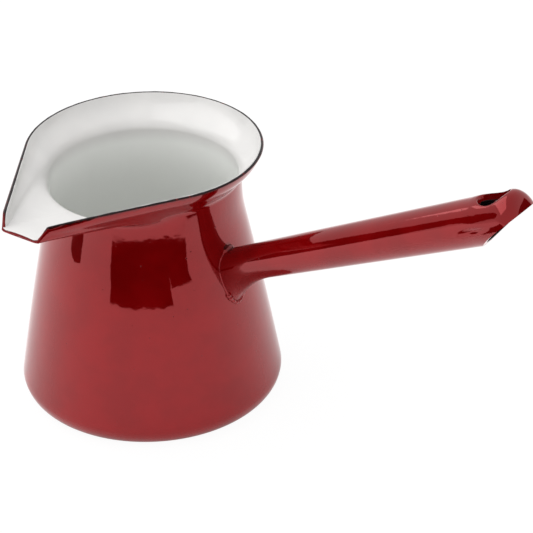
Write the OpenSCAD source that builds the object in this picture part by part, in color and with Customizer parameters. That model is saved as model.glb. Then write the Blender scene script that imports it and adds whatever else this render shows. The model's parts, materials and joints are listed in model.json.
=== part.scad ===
// Enamelled sheet-steel melting pot with a pouring spout and a hollow, upswept handle.
// Origin: centre of the base, on the surface that it stands on. +Z is up, +X is the
// handle's side and -Y is the spout's side. Millimetres and degrees.

/* [Pot body] */
// Outside radius of the round base
base_r = 50; // [42:0.5:62]
// Radius of the rounded edge round the base
base_edge_r = 7.4; // [5:0.2:11]
// Height at which the body ends and the collar begins
neck_z = 90; // [74:1:125]
// Outside radius of the neck
neck_r = 36.6; // [30:0.2:44]
// Length of the nearly straight neck above the conical side
neck_len = 12; // [8:1:24]
// Height of the bend that turns the neck out into the collar
neck_bend_h = 2.6; // [2:0.1:4]
// How far the conical side swells outwards half-way up
side_swell = 0.4; // [0:0.1:1.5]

/* [Collar and spout] */
// Height of the collar, from the neck to the rim
collar_h = 10.7; // [8:0.1:16]
// Width by which the rim stands outside the neck
collar_flare = 7.6; // [5:0.1:12]
// How far the round of the rim sits back from the spout
rim_setback = 1.1; // [0:0.1:2]
// Distance from the pot's axis to the lower edge of the spout's tip
tip_reach = 69.5; // [60:0.5:90]
// How far the tip's upper corners stand back from its lower edge
tip_rake = 3.9; // [1:0.1:6]
// Half of the tip's width along its lower edge
tip_floor_half_w = 8.1; // [6:0.1:12]
// How much further out the tip's upper corners stand, each side
tip_wall_splay = 2.3; // [1:0.1:5]
// Rounding where the tip's floor turns up into its side walls
tip_corner_r = 1.6; // [0.5:0.1:2.5]
// Height of the spout's side walls at the tip
tip_wall_h = 5.3; // [3:0.1:9]

/* [Walls] */
// Thickness of the sheet steel of the pot
steel_t = 0.8; // [0.5:0.05:1.5]
// Thickness of each coat of fired enamel
enamel_t = 0.25; // [0.15:0.05:0.4]
// Thickness of the dark ground coat along the cut rim
rim_coat_t = 0.35; // [0.2:0.05:0.6]

/* [Handle] */
// Angle at which the handle rises
handle_rise = 26.4; // [0:0.2:40]
// Height at which the handle's line crosses the pot's axis
handle_axis_z = 43.5; // [35:0.2:55]
// Outside diameter of the handle where it leaves the pot
handle_root_d = 12.5; // [10:0.2:18]
// Outside diameter of the handle at the end of its closed tube
handle_end_d = 17; // [12:0.2:22]
// Distance along the handle's line from the pot's axis to the end of the closed tube
tube_reach = 160.5; // [140:0.5:200]
// Length of the scooped tongue beyond the closed tube
tongue_len = 20.7; // [18:0.1:28]
// Thickness of the handle's sheet steel
handle_steel_t = 0.9; // [0.6:0.05:1.4]
// How far the foot of the handle spreads down the side of the pot
foot_drop = 6.4; // [0:0.2:9]
// Length of handle over which the foot spreads
foot_len = 20; // [10:1:30]
// Radius of the weld bead round the foot
bead_r = 1.2; // [0.8:0.1:2]

/* [Hanging hole] */
// Radius of the hanging hole
hang_hole_r = 5.8; // [4:0.1:6.5]
// Distance from the end of the closed tube to the centre of the hole
hang_hole_offset = 10.5; // [9:0.5:12]

/* [Hidden] */

// Depth of each layer's inner face below the outside surface of the pot and of the handle
pot_steel_face = enamel_t;
pot_lining_face = enamel_t + steel_t;
pot_inside_face = 2 * enamel_t + steel_t;
handle_steel_face = enamel_t;
handle_lining_face = enamel_t + handle_steel_t;
handle_inside_face = 2 * enamel_t + handle_steel_t;

// Heights and radii that follow from the driving sizes
rim_z = neck_z + collar_h;
rim_r = neck_r + collar_flare;
tip_floor_z = rim_z - tip_wall_h;
crease_z = neck_z + neck_bend_h / 4;
bend_z = crease_z - neck_bend_h;
cone_top_z = neck_z - neck_len;
neck_softness = 0.5;

// Steps along half of a level, from the middle of the spout round to the far side
front_steps = 2;
corner_steps = 3;
wall_steps = 5;
arc_steps = 20;
half_steps = front_steps + corner_steps + wall_steps + arc_steps;
columns = 2 * half_steps;
// Distance between the columns that climb the corner of the spout
corner_pitch = 1.3;
// Steps up the rounded base edge and up the side
edge_steps = 4;
side_steps = 6;
neck_row = edge_steps + side_steps;

// Shape of the handle's sections and of its tongue
handle_sides = 24;
// Where the handle's solids start, inside the pot's neck, and where its foot has died out
handle_bury = 4;
handle_buried_t = neck_r - handle_bury;
foot_stand_off = 6;
foot_end_t = neck_r + foot_stand_off + foot_len;
foot_steps = 8;
// The nose is a quarter of a full curve, stopped just short of its pole
nose_len = 4.5;
nose_fullness = 1.9;
nose_steps = 6;
nose_last_angle = 86;
tip_t = tube_reach + tongue_len;
scoop_step_h = 4;
scoop_step_len = 7;
scoop_slope = 20.5;
bead_steps = 24;
bead_sides = 8;
// The rim coat's shoulders, as shares of the wall's thickness and of the coat's height
shoulder_share = 0.15;
shoulder_lift = 0.75;
// Longer than any cut has to reach
far = 60;

// The coats' and the steel's colours
red_enamel = [0.55, 0.02, 0.04];
white_enamel = [0.93, 0.93, 0.92];
dark_coat = [0.10, 0.07, 0.08];
bare_steel = [0.62, 0.62, 0.63];

function unit(v) = v / norm(v);
function mix(a, b, f) = a + (b - a) * f;
function flatten(rows) = [for (row = rows) each row];
function sum(v, i = 0) = i == len(v) - 1 ? v[i] : v[i] + sum(v, i + 1);

// A point at a radius and height, at an angle from the spout's direction towards the handle
function around(r, angle, z) = [r * sin(angle), -r * cos(angle), z];

// The angle at which a line from a spout corner touches a circle round the pot's axis
function touch_angle(corner, r) =
    atan2(corner[0], -corner[1]) + acos(r / norm([corner[0], corner[1]]));

// Corners of the spout's tip on the handle's side
low_corner = [tip_floor_half_w, -tip_reach, tip_floor_z];
top_corner = [tip_floor_half_w + tip_wall_splay, tip_rake - tip_reach, rim_z];
crease_touch = touch_angle(low_corner, neck_r);
rim_touch = touch_angle(top_corner - [0, rim_setback, 0], rim_r);
function rim_around(angle) = around(rim_r, angle, rim_z) + [0, rim_setback, 0];

// The crease between the spout's floor and its side wall, from the tip to the neck
function crease_at(f) = mix(low_corner, around(neck_r, crease_touch, crease_z), f);
crease_len = norm(crease_at(1) - crease_at(0));
corner_f = corner_pitch / crease_len;

// Half of the crease's level, and half of the rim's, on the handle's side
function crease_point(k) =
    k <= front_steps ? [crease_at(corner_f)[0] * k / front_steps,
                        crease_at(corner_f)[1], crease_at(corner_f)[2]] :
    k <= front_steps + corner_steps ? crease_at(corner_f * (1 + k - front_steps)) :
    k <= half_steps - arc_steps ?
        crease_at(mix(corner_f * (1 + corner_steps), 1,
                      (k - front_steps - corner_steps) / wall_steps)) :
    around(neck_r, mix(crease_touch, 180, (k - half_steps + arc_steps) / arc_steps), crease_z);

function rim_point(k) =
    k <= front_steps ?
        [(low_corner[0] - tip_corner_r) * k / front_steps, low_corner[1], low_corner[2]] :
    k <= front_steps + corner_steps ?
        mix(low_corner, top_corner, (k - front_steps) / corner_steps) :
    k <= half_steps - arc_steps ?
        mix(top_corner, rim_around(rim_touch), (k - front_steps - corner_steps) / wall_steps) :
    rim_around(mix(rim_touch, 180, (k - half_steps + arc_steps) / arc_steps));

// A whole level from its half, mirrored across the plane through the spout
function mirrored(half) =
    [for (i = [0 : columns - 1])
        i <= half_steps ? half[i] : [-half[columns - i][0], half[columns - i][1], half[columns - i][2]]];

crease_row = mirrored([for (k = [0 : half_steps]) crease_point(k)]);
rim_row = mirrored([for (k = [0 : half_steps]) rim_point(k)]);
// The columns' angles: those of the crease at the neck, and even steps round the base
function crease_angle(k) =
    k <= half_steps - arc_steps ? atan2(crease_point(k)[0], -crease_point(k)[1]) :
    mix(crease_touch, 180, (k - half_steps + arc_steps) / arc_steps);
crease_angles = [for (i = [0 : columns - 1])
    i <= half_steps ? crease_angle(i) : -crease_angle(columns - i)];
even_angles = [for (i = [0 : columns - 1]) 360 * (i <= half_steps ? i : i - columns) / columns];

// Outside radius of the body at a height: a swelling cone that runs into a straight neck
function cone_r(z) =
    mix(base_r, neck_r, (z - base_edge_r) / (cone_top_z - base_edge_r))
    + side_swell * sin(180 * min(1, (z - base_edge_r) / (cone_top_z - base_edge_r)));
function body_r(z) = neck_r + neck_softness * ln(1 + exp((cone_r(z) - neck_r) / neck_softness));

// A level of the body, with its columns a share of the way from even steps to the crease's
function round_row(r, z, share) =
    [for (i = [0 : columns - 1]) around(r, mix(even_angles[i], crease_angles[i], share), z)];
function between_rows(a, b, f) = [for (i = [0 : columns - 1]) mix(a[i], b[i], f)];

// The outside surface, level by level from the flat of the base up to the rim
side_heights = [for (i = [1 : side_steps])
    mix(base_edge_r, bend_z, sin(90 * i / side_steps))];
surface = concat(
    [for (i = [0 : edge_steps])
        round_row(base_r - base_edge_r * (1 - sin(90 * i / edge_steps)),
                  base_edge_r * (1 - cos(90 * i / edge_steps)), 0)],
    [for (i = [0 : side_steps - 1])
        round_row(body_r(side_heights[i]), side_heights[i], pow((i + 1) / side_steps, 3))],
    [between_rows(round_row(body_r(bend_z), bend_z, 1), crease_row, 0.5), crease_row, rim_row]);
top_row = len(surface) - 1;

// Outward direction of each four-sided patch, and of each point between its patches
patch_dir = [for (i = [0 : top_row - 1]) [for (j = [0 : columns - 1])
    unit(cross(surface[i + 1][(j + 1) % columns] - surface[i][j],
               surface[i + 1][j] - surface[i][(j + 1) % columns]))]];
function patches_round(i, j) =
    let (before = (j + columns - 1) % columns)
    concat(i > 0 ? [patch_dir[i - 1][before], patch_dir[i - 1][j]] : [[0, 0, -1], [0, 0, -1]],
           i < top_row ? [patch_dir[i][before], patch_dir[i][j]] : []);
function inward_step(i, j) =
    let (dirs = patches_round(i, j), dir = unit(sum(dirs)))
    -dir * len(dirs) / sum([for (d = dirs) d * dir]);
inward = [for (i = [0 : top_row]) [for (j = [0 : columns - 1]) inward_step(i, j)]];
function surface_at(depth) =
    [for (i = [0 : top_row]) [for (j = [0 : columns - 1]) surface[i][j] + depth * inward[i][j]]];

// Triangles between two neighbouring rings of points, facing outwards or inwards
function band(a, b, n, outwards) =
    [for (j = [0 : n - 1]) let (k = (j + 1) % n)
        each outwards ? [[a + j, b + j, b + k], [a + j, b + k, a + k]]
                      : [[a + j, b + k, b + j], [a + j, a + k, b + k]]];
function ring(start, n, reverse) = [for (j = [0 : n - 1]) start + (reverse ? n - 1 - j : j)];

// A closed wall between two nested surfaces that are open at their last ring.
// capped closes the first ring of both; otherwise the first rings are joined too.
module nested_wall(outer, inner, n, capped) {
    rows = len(outer);
    inside = rows * n;
    polyhedron(
        points = concat(flatten(outer), flatten(inner)),
        faces = concat(
            [for (i = [0 : rows - 2]) each band(i * n, (i + 1) * n, n, true)],
            [for (i = [0 : rows - 2]) each band(inside + i * n, inside + (i + 1) * n, n, false)],
            band((rows - 1) * n, inside + (rows - 1) * n, n, true),
            capped ? [ring(0, n, false), ring(inside, n, true)]
                   : band(0, inside, n, false)));
}

// A solid bounded by one stack of rings, flat at both ends
module ringed_solid(rings, n) {
    polyhedron(
        points = flatten(rings),
        faces = concat(
            [for (i = [0 : len(rings) - 2]) each band(i * n, (i + 1) * n, n, true)],
            [ring(0, n, false), ring((len(rings) - 1) * n, n, true)]));
}

module pot_wall(outer_depth, inner_depth) {
    nested_wall(surface_at(outer_depth), surface_at(inner_depth), columns, true);
}

// The body below the collar as a filled solid, for trimming what meets its side
module pot_core(depth) {
    rows = surface_at(depth);
    ringed_solid([for (i = [0 : neck_row - 1]) rows[i]], columns);
}

// Half-width of the handle at a distance along its line
function handle_half_w(t) =
    mix(handle_root_d, handle_end_d, (t - neck_r) / (tube_reach - neck_r)) / 2;
// How far the foot has spread below the handle, as a share of foot_drop
function foot_spread(t) = pow(max(0, foot_end_t - t) / foot_len, 2);

// A point of the handle in its own frame, X along, Y across and Z above, at a distance, at an
// angle from the top and at a depth below the outside. full shrinks the section at the nose.
function section_point(t, angle, depth, full = 1) =
    let (half_w = (handle_half_w(t) - depth) * full,
         below = cos(angle) < 0 ? foot_drop * foot_spread(t) : 0)
    [t, -half_w * sin(angle), (half_w + below) * cos(angle)];
function handle_ring(t, depth, full = 1) =
    [for (j = [0 : handle_sides - 1]) section_point(t, 360 * j / handle_sides, depth, full)];

// The rings that follow the foot, and those of the taper and of the rounded nose
function foot_rings(depth) =
    [for (i = [0 : foot_steps])
        handle_ring(mix(handle_buried_t, foot_end_t, i / foot_steps), depth)];
function handle_rings(depth) = concat(
    foot_rings(depth),
    [handle_ring(tube_reach, depth)],
    [for (i = [0 : nose_steps])
        let (x = sin(nose_last_angle * i / nose_steps))
        handle_ring(tip_t - nose_len + (nose_len - depth) * x, depth,
                    pow(1 - pow(x, nose_fullness), 1 / nose_fullness))]);

module handle_frame() {
    translate([0, 0, handle_axis_z]) rotate([0, -handle_rise, 0]) children();
}

// The root of one layer of the handle as a filled solid
module handle_root(depth) {
    handle_frame() ringed_solid(foot_rings(depth), handle_sides);
}

// A point of the steel tube's outside, in the pot's frame, at a distance and an angle
function handle_point(t, angle) =
    let (p = section_point(t, angle, handle_steel_face))
    [p[0] * cos(handle_rise) - p[2] * sin(handle_rise), p[1],
     handle_axis_z + p[0] * sin(handle_rise) + p[2] * cos(handle_rise)];
// Where that line of the tube meets the steel side of the pot, by repeated correction
function foot_point(angle, t = neck_r, tries = 8) =
    let (p = handle_point(t, angle), gap = body_r(p[2]) - pot_steel_face - norm([p[0], p[1]]))
    tries == 0 ? p : foot_point(angle, t + gap / cos(handle_rise), tries - 1);

// Round bead that follows the join of handle and pot
module bead_sweep() {
    path = [for (i = [0 : bead_steps - 1]) foot_point(360 * i / bead_steps)];
    rings = [for (i = [0 : bead_steps - 1])
        let (along = unit(path[(i + 1) % bead_steps] - path[(i + bead_steps - 1) % bead_steps]),
             out = unit([path[i][0], path[i][1], 0]),
             across = unit(cross(along, out)),
             up = cross(across, along))
        [for (j = [0 : bead_sides - 1])
            path[i] + bead_r * (cos(360 * j / bead_sides) * up + sin(360 * j / bead_sides) * across)]];
    polyhedron(
        points = flatten(rings),
        faces = [for (i = [0 : bead_steps - 1])
            each band(i * bead_sides, ((i + 1) % bead_steps) * bead_sides, bead_sides, true)]);
}

// What is cut away under the tongue: a short steep step, then a long slant to the tip
module scoop_cut() {
    floor_h = -far;
    start_h = -handle_end_d / 2;
    step_t = tube_reach + scoop_step_len;
    step_h = start_h + scoop_step_h;
    rotate([90, 0, 0])
        linear_extrude(height = far, center = true)
            polygon([[tube_reach, floor_h], [tube_reach, start_h], [step_t, step_h],
                     [step_t + far, step_h + far * tan(scoop_slope)], [step_t + far, floor_h]]);
}

module hang_hole() {
    translate([tube_reach + hang_hole_offset, 0, 0]) cylinder(h = far, r = hang_hole_r, $fn = 64);
}

// One layer of the handle between two depths, stopped at a depth of the pot's side
module handle_layer(outer_depth, inner_depth, pot_depth) {
    difference() {
        handle_frame() difference() {
            ringed_solid(handle_rings(outer_depth), handle_sides);
            ringed_solid(handle_rings(inner_depth), handle_sides);
            scoop_cut();
            hang_hole();
        }
        pot_core(pot_depth);
    }
}

// Drawn steel body with its neck, collar and pressed spout
module pot_shell() {
    color(bare_steel) pot_wall(pot_steel_face, pot_lining_face);
}

// Red cover coat on the outside of the pot
module outer_enamel() {
    color(red_enamel) difference() {
        pot_wall(0, pot_steel_face);
        handle_root(handle_steel_face);
        bead_sweep();
    }
}

// White cover coat on the inside of the pot
module inner_enamel() {
    color(white_enamel) pot_wall(pot_lining_face, pot_inside_face);
}

// Dark ground coat that shows along the cut edge of rim and spout
module rim_edge() {
    outside = surface[top_row];
    below = surface[top_row - 1];
    inside = surface_at(pot_inside_face)[top_row];
    lift = [for (j = [0 : columns - 1]) rim_coat_t * unit(outside[j] - below[j])];
    ridge = [for (j = [0 : columns - 1]) mix(outside[j], inside[j], 0.5) + lift[j]];
    shoulder_out = [for (j = [0 : columns - 1])
        mix(outside[j], inside[j], shoulder_share) + shoulder_lift * lift[j]];
    shoulder_in = [for (j = [0 : columns - 1])
        mix(inside[j], outside[j], shoulder_share) + shoulder_lift * lift[j]];
    rings = [outside, shoulder_out, ridge, shoulder_in, inside];
    color(dark_coat)
        polyhedron(
            points = flatten(rings),
            faces = [for (i = [0 : len(rings) - 1])
                each band(i * columns, ((i + 1) % len(rings)) * columns, columns, true)]);
}

// Rolled, tapered steel tube with its scooped tongue
module handle_tube() {
    color(bare_steel) handle_layer(handle_steel_face, handle_lining_face, pot_steel_face);
}

// Red cover coat on the outside of the handle
module handle_enamel() {
    color(red_enamel) difference() {
        handle_layer(0, handle_steel_face, 0);
        bead_sweep();
    }
}

// Dark ground coat inside the tube and under the tongue
module handle_lining() {
    color(dark_coat) handle_layer(handle_lining_face, handle_inside_face, pot_steel_face);
}

// Weld bead that joins the foot of the handle to the side of the pot
module weld_bead() {
    color(red_enamel) difference() {
        bead_sweep();
        pot_core(pot_steel_face);
        handle_root(handle_steel_face);
    }
}

pot_shell();
outer_enamel();
inner_enamel();
rim_edge();
handle_tube();
handle_enamel();
handle_lining();
weld_bead();
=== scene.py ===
"""Looks of an enamelled melting pot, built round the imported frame.

Meshes are in metres in the frame of the part: the origin is the centre of the base, +Z is up, +X is the
handle's side and -Y is the spout's side. The sizes that classes hold are in millimetres.
"""
import json
import logging
import math
from dataclasses import dataclass
from enum import Enum
from typing import Callable, Optional, Sequence

import bmesh
import bpy
import numpy as np
from mathutils import Matrix, Vector


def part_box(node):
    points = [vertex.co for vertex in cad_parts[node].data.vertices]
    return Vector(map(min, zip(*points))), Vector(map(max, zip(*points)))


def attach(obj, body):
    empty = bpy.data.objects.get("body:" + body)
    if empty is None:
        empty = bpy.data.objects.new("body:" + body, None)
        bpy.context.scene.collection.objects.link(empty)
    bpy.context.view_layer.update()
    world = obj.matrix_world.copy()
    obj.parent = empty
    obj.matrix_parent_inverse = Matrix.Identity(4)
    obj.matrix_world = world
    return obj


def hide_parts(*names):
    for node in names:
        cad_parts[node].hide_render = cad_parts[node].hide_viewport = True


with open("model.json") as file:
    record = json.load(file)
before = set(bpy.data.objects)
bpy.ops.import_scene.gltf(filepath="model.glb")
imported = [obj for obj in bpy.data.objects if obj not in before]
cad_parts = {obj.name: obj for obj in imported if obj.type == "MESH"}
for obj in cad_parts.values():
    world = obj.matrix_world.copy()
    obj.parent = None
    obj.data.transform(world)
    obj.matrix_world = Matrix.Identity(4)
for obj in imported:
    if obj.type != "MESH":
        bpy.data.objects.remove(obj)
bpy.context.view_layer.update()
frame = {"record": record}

MM = 0.001
BODY = "root"
log = logging.getLogger("melting_pot")


class Slot(Enum):
    """Material slots of the record; the pot's walls list theirs, but no piece takes its finish from them."""

    RED = "red_enamel"
    WHITE = "white_enamel"
    DARK = "dark_ground_coat"
    STEEL = "drawn_steel"


# ---------------------------------------------------------------------------------------------- node trees
class Graph:
    """A node tree that is filled by one method, and whose values do arithmetic in Python."""

    def __init__(self, tree: bpy.types.NodeTree) -> None:
        """Empties the tree.

        Args:
            tree: The node tree to fill.
        """
        self.tree = tree
        tree.nodes.clear()

    def node(self, kind: str, settings: Optional[dict] = None, **inputs: object) -> bpy.types.Node:
        """Adds a node.

        Args:
            kind: The node's type name.
            settings: Properties to set first; "stops" sets a colour ramp's positions and colours.
            inputs: Values or Wires for its sockets, by name with _ for a space, or i0, i1 for a position.

        Returns:
            The new node.
        """
        made = self.tree.nodes.new(kind)
        for key, value in (settings or {}).items():
            if key == "stops":
                ramp = made.color_ramp
                while len(ramp.elements) < len(value):
                    ramp.elements.new(0.5)
                for element, (place, colour) in zip(ramp.elements, value):
                    element.position, element.color = place, colour
            else:
                setattr(made, key, value)
        for key, value in inputs.items():
            by_place = key[0] == "i" and key[1:].isdigit()
            socket = made.inputs[int(key[1:])] if by_place else made.inputs[key.replace("_", " ")]
            if isinstance(value, Wire):
                self.tree.links.new(value.socket, socket)
            else:
                socket.default_value = value
        return made

    def wire(self, node: bpy.types.Node, output: object = 0) -> "Wire":
        """The value at one of a node's outputs."""
        return Wire(self, node.outputs[output])


class Wire:
    """A socket's value; arithmetic on it adds Math nodes."""

    def __init__(self, graph: Graph, socket: bpy.types.NodeSocket) -> None:
        """Holds the socket and the graph that it is in."""
        self.graph = graph
        self.socket = socket

    def math(self, operation: str, *others: object, first: object = None) -> "Wire":
        """Adds a Math node.

        Args:
            operation: The Math node's operation.
            others: The operands after this one.
            first: An operand that stands before this one.

        Returns:
            The result.
        """
        values = [self, *others] if first is None else [first, self, *others]
        inputs = {f"i{i}": v for i, v in enumerate(values)}
        return self.graph.wire(self.graph.node("ShaderNodeMath", {"operation": operation}, **inputs))

    def __add__(self, other: object) -> "Wire":
        """Sum."""
        return self.math("ADD", other)

    __radd__ = __add__

    def __sub__(self, other: object) -> "Wire":
        """Difference."""
        return self.math("SUBTRACT", other)

    def __rsub__(self, other: object) -> "Wire":
        """Difference, the other way round."""
        return self.math("SUBTRACT", first=other)

    def __mul__(self, other: object) -> "Wire":
        """Product."""
        return self.math("MULTIPLY", other)

    __rmul__ = __mul__

    def __truediv__(self, other: object) -> "Wire":
        """Quotient."""
        return self.math("DIVIDE", other)

    def __pow__(self, other: object) -> "Wire":
        """Power."""
        return self.math("POWER", other)

    def __lt__(self, other: object) -> "Wire":
        """1 where it is less than the other, else 0."""
        return self.math("LESS_THAN", other)

    def __gt__(self, other: object) -> "Wire":
        """1 where it is greater than the other, else 0."""
        return self.math("GREATER_THAN", other)

    def ramp(self, low: float, high: float) -> "Wire":
        """Smooth rise from 0 at low to 1 at high.

        Args:
            low: Value at which the result is 0.
            high: Value at which the result is 1.

        Returns:
            The smoothed share.
        """
        smoothed = self.graph.node("ShaderNodeMapRange", {"interpolation_type": "SMOOTHSTEP"}, Value=self,
                                   From_Min=low, From_Max=high)
        return self.graph.wire(smoothed)

    def share(self, low: float, high: float) -> "Wire":
        """Straight rise from 0 at low to 1 at high, held outside them."""
        return self.graph.wire(self.graph.node("ShaderNodeMapRange", Value=self, From_Min=low, From_Max=high))


# ---------------------------------------------------------------------------------------------- finishes
def empty_material(name: str) -> tuple[bpy.types.Material, Graph]:
    """Starts a material without nodes.

    Args:
        name: The material's name.

    Returns:
        The material and its graph.
    """
    material = bpy.data.materials.new(name)
    material.use_nodes = True
    return material, Graph(material.node_tree)


def enamel_graph(name: str) -> tuple[bpy.types.Material, Graph, Wire]:
    """Starts a finish of the pot.

    Args:
        name: The material's name.

    Returns:
        The material, its graph and the Object coordinates.
    """
    material, graph = empty_material(name)
    place = graph.wire(graph.node("ShaderNodeTexCoord"), "Object")
    return material, graph, place


def end_finish(graph: Graph, colour: Wire, gloss: Wire, normal: Wire, **more: object) -> None:
    """Ends a finish in its surface.

    Args:
        graph: The material's graph.
        colour: Base colour.
        gloss: Roughness.
        normal: Bumped normal.
        more: Other inputs of the surface, by name.
    """
    shader = graph.node("ShaderNodeBsdfPrincipled", Base_Color=colour, Roughness=gloss, Normal=normal, **more)
    graph.node("ShaderNodeOutputMaterial", Surface=graph.wire(shader))


def mottle(graph: Graph, place: Wire, size: float, detail: float = 2.0) -> Wire:
    """Soft noise.

    Args:
        graph: The material's graph.
        place: Coordinates in metres.
        size: Size of its patches in millimetres.
        detail: Octaves of finer noise.

    Returns:
        A value about 0.5.
    """
    return graph.wire(graph.node("ShaderNodeTexNoise", Vector=place, Scale=1 / (size * MM), Detail=detail))


def waves(graph: Graph, heights: Sequence[tuple[Wire, float]]) -> Wire:
    """Bump from several height fields.

    Args:
        graph: The material's graph.
        heights: Pairs of a height field and its depth in millimetres.

    Returns:
        The bumped normal.
    """
    total = None
    for field_height, depth in heights:
        part = field_height * (depth * MM)
        total = part if total is None else total + part
    return graph.wire(graph.node("ShaderNodeBump", i0=1.0, i1=1.0, Height=total), "Normal")


def mix_colour(graph: Graph, share: Wire, a: object, b: object) -> Wire:
    """Mixes two colours.

    Args:
        graph: The material's graph.
        share: Share of the second colour, from 0 to 1.
        a: Colour where the share is 0.
        b: Colour where the share is 1.

    Returns:
        The mixed colour.
    """
    return graph.wire(graph.node("ShaderNodeMix", {"data_type": "RGBA"}, i0=share, i6=a, i7=b), 2)


@dataclass(frozen=True)
class RedEnamel:
    """Deep red glassy cover coat."""

    name: str = "fired_red_enamel"
    deep: tuple = (0.112, 0.0003, 0.0006, 1)
    bright: tuple = (0.15, 0.0006, 0.0012, 1)
    thin: tuple = (0.018, 0.002, 0.002, 1)
    ior: float = 1.73
    gleam: float = 0.95
    tint: tuple = (1.0, 0.2, 0.21, 1)
    nub: tuple = (0.0, 0.0, 0.0)
    nub_r: float = 2.9
    nub_fade: float = 0.9
    edge_top: float = 100.7
    pot_reach: float = 60.0
    cloud_size: float = 14.0
    pit_spacing: float = 5.5
    swell_size: float = 9.0
    swell_depth: float = 0.055
    ripple_size: float = 2.6
    ripple_depth: float = 0.013
    pit_depth: float = 0.02

    def material(self) -> bpy.types.Material:
        """Builds the material."""
        material, graph, place = enamel_graph(self.name)
        xyz = graph.node("ShaderNodeSeparateXYZ", i0=place)
        cloud = mottle(graph, place, self.cloud_size).ramp(0.3, 0.7)
        colour = mix_colour(graph, cloud, self.deep, self.bright)
        cells = graph.node("ShaderNodeTexVoronoi", Vector=place, Scale=1 / (self.pit_spacing * MM))
        pit_mask = 1 - graph.wire(cells, "Distance").ramp(0.03, 0.07)
        colour = mix_colour(graph, pit_mask * 0.6, colour, self.thin)
        ragged = mottle(graph, place, 2.2, 3.0) * (1.6 * MM) + graph.wire(xyz, 2)
        near_rim = ragged.ramp((self.edge_top + 0.2) * MM, (self.edge_top + 0.9) * MM)
        near_rim = near_rim * (graph.wire(xyz, 0) < self.pot_reach * MM)
        colour = mix_colour(graph, near_rim, colour, self.thin)
        apart = graph.node("ShaderNodeVectorMath", {"operation": "DISTANCE"}, i0=place, i1=self.nub)
        from_nub = graph.wire(apart, "Value") + mottle(graph, place, 1.5, 3.0) * (1.6 * MM)
        away = from_nub.ramp(self.nub_r * MM, (self.nub_r + self.nub_fade) * MM)
        colour = mix_colour(graph, 1 - away, colour, self.thin)
        gloss = mottle(graph, place, self.swell_size) * 0.05 + 0.025
        swell = mottle(graph, place, self.swell_size, 1.0)
        ripple = mottle(graph, place, self.ripple_size, 1.0)
        normal = waves(graph, [(swell, self.swell_depth), (ripple, self.ripple_depth),
                               (pit_mask, -self.pit_depth)])
        end_finish(graph, colour, gloss, normal, IOR=self.ior, Specular_IOR_Level=self.gleam,
                   Specular_Tint=self.tint)
        return material


@dataclass(frozen=True)
class WhiteEnamel:
    """White glassy cover coat; below the collar it is painted lighter, a painted fill light that lifts the
    shade inside the deep pot.
    """

    name: str = "fired_white_enamel"
    clean: tuple = (0.72, 0.708, 0.695, 1)
    grey: tuple = (0.675, 0.665, 0.655, 1)
    # Lighter white below the collar: painted fill light standing in for light inside the deep pot, not a real
    # change of colour.
    inside: tuple = (0.84, 0.85, 0.825, 1)
    inside_z: float = 88.0
    ior: float = 1.5
    cloud_size: float = 16.0
    swell_size: float = 12.0
    swell_depth: float = 0.07
    ripple_size: float = 2.6
    ripple_depth: float = 0.008

    def material(self) -> bpy.types.Material:
        """Builds the material."""
        material, graph, place = enamel_graph(self.name)
        colour = mix_colour(graph, mottle(graph, place, self.cloud_size).ramp(0.25, 0.75), self.clean,
                            self.grey)
        height = graph.wire(graph.node("ShaderNodeSeparateXYZ", i0=place), 2)
        # Painted light: the coat turns to the lighter white below the collar, lifting the shade inside the
        # pot.
        painted_fill_share = 1 - height.ramp((self.inside_z - 4) * MM, (self.inside_z + 2) * MM)
        colour = mix_colour(graph, painted_fill_share, colour, self.inside)
        gloss = mottle(graph, place, 8.0) * 0.08 + 0.09
        swell = mottle(graph, place, self.swell_size, 1.0)
        ripple = mottle(graph, place, self.ripple_size, 1.0)
        normal = waves(graph, [(swell, self.swell_depth), (ripple, self.ripple_depth)])
        end_finish(graph, colour, gloss, normal, IOR=self.ior)
        return material


@dataclass(frozen=True)
class GroundCoat:
    """Near-black ground coat with rust-red flecks; red cover coat runs over it at the spout's lip."""

    name: str = "fired_ground_coat"
    black: tuple = (0.010, 0.006, 0.007, 1)
    fleck: tuple = (0.11, 0.006, 0.006, 1)
    red: tuple = (0.15, 0.002, 0.003, 1)
    lip_y: float = -66.0
    has_lip: bool = False
    ior: float = 1.5
    gleam: float = 0.22

    def material(self) -> bpy.types.Material:
        """Builds the material."""
        material, graph, place = enamel_graph(self.name + ("_rim" if self.has_lip else ""))
        flecks = mottle(graph, place, 2.4, 3.0).ramp(0.60, 0.68)
        colour = mix_colour(graph, flecks, self.black, self.fleck)
        if self.has_lip:
            xyz = graph.node("ShaderNodeSeparateXYZ", i0=place)
            along = graph.wire(xyz, 1) + mottle(graph, place, 3.0) * (2.0 * MM)
            lip = 1 - along.ramp((self.lip_y - 0.6) * MM, (self.lip_y + 1.6) * MM)
            colour = mix_colour(graph, lip, colour, self.red)
        gloss = mottle(graph, place, 3.0) * 0.25 + 0.22
        normal = waves(graph, [(mottle(graph, place, 1.6, 2.0), 0.03)])
        end_finish(graph, colour, gloss, normal, IOR=self.ior, Specular_IOR_Level=self.gleam)
        return material


@dataclass(frozen=True)
class DrawnSteel:
    """Bare low-carbon sheet steel between the coats."""

    name: str = "drawn_sheet_steel"
    light: tuple = (0.56, 0.56, 0.57, 1)
    dark: tuple = (0.36, 0.36, 0.38, 1)

    def material(self) -> bpy.types.Material:
        """Builds the material."""
        material, graph, place = enamel_graph(self.name)
        stretched = graph.wire(graph.node("ShaderNodeMapping", i0=place, Scale=(1, 1, 12)))
        colour = mix_colour(graph, mottle(graph, stretched, 6.0).ramp(0.3, 0.7), self.light, self.dark)
        gloss = mottle(graph, place, 3.0) * 0.2 + 0.3
        normal = waves(graph, [(mottle(graph, stretched, 3.0, 2.0), 0.01)])
        end_finish(graph, colour, gloss, normal, Metallic=1.0)
        return material


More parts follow.
